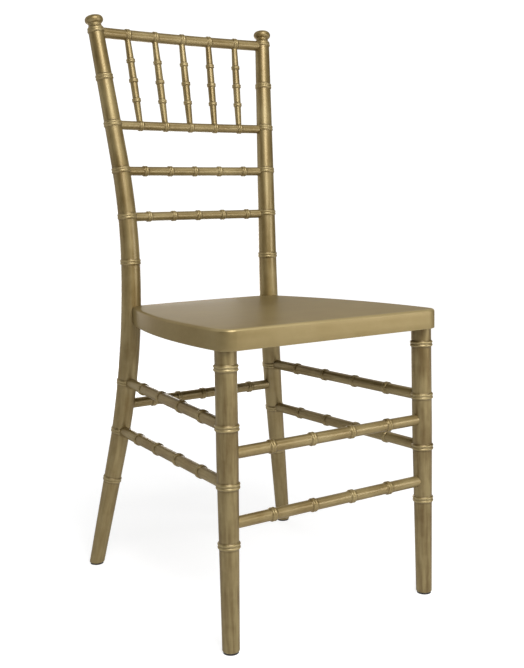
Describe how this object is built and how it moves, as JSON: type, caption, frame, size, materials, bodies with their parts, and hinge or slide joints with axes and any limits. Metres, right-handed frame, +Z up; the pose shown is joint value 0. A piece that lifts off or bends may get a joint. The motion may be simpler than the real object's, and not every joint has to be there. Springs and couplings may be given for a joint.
{
  "type": "banquet chair",
  "caption": "Armless gold resin banquet chair with bamboo-like ringed legs, a flat seat, ringed stretchers and a spindled open back.",
  "frame": {"origin": "on the floor, under the middle of the chair's bounding box", "axes": "+Z up, the chair faces -Y, +X to the right as seen from the front"},
  "size_m": [0.4116, 0.4584, 0.9151],
  "materials": {
    "gold_resin": "satin metallic gold paint on moulded resin",
    "glide_plastic": "dark moulded plastic",
    "fastener_steel": "zinc plated",
    "insert_brass": "machined"
  },
  "bodies": {
    "root": {"seat_shell": "gold_resin", "left_rear_post": "gold_resin", "right_rear_post": "gold_resin", "left_front_leg": "gold_resin", "right_front_leg": "gold_resin", "crest_rail": "gold_resin", "spindle_rail": "gold_resin", "middle_back_rail": "gold_resin", "lower_back_rail": "gold_resin", "back_spindle_1": "gold_resin", "back_spindle_2": "gold_resin", "back_spindle_3": "gold_resin", "back_spindle_4": "gold_resin", "back_spindle_5": "gold_resin", "front_upper_stretcher": "gold_resin", "front_lower_stretcher": "gold_resin", "rear_stretcher": "gold_resin", "left_upper_side_stretcher": "gold_resin", "right_upper_side_stretcher": "gold_resin", "left_lower_side_stretcher": "gold_resin", "right_lower_side_stretcher": "gold_resin", "bolt_cover_caps": "gold_resin", "left_front_glide": "glide_plastic", "right_front_glide": "glide_plastic", "left_rear_glide": "glide_plastic", "right_rear_glide": "glide_plastic", "seat_rear_bolts": "fastener_steel", "front_leg_screws": "fastener_steel", "seat_inserts": "insert_brass"}
  },
  "joints": []
}
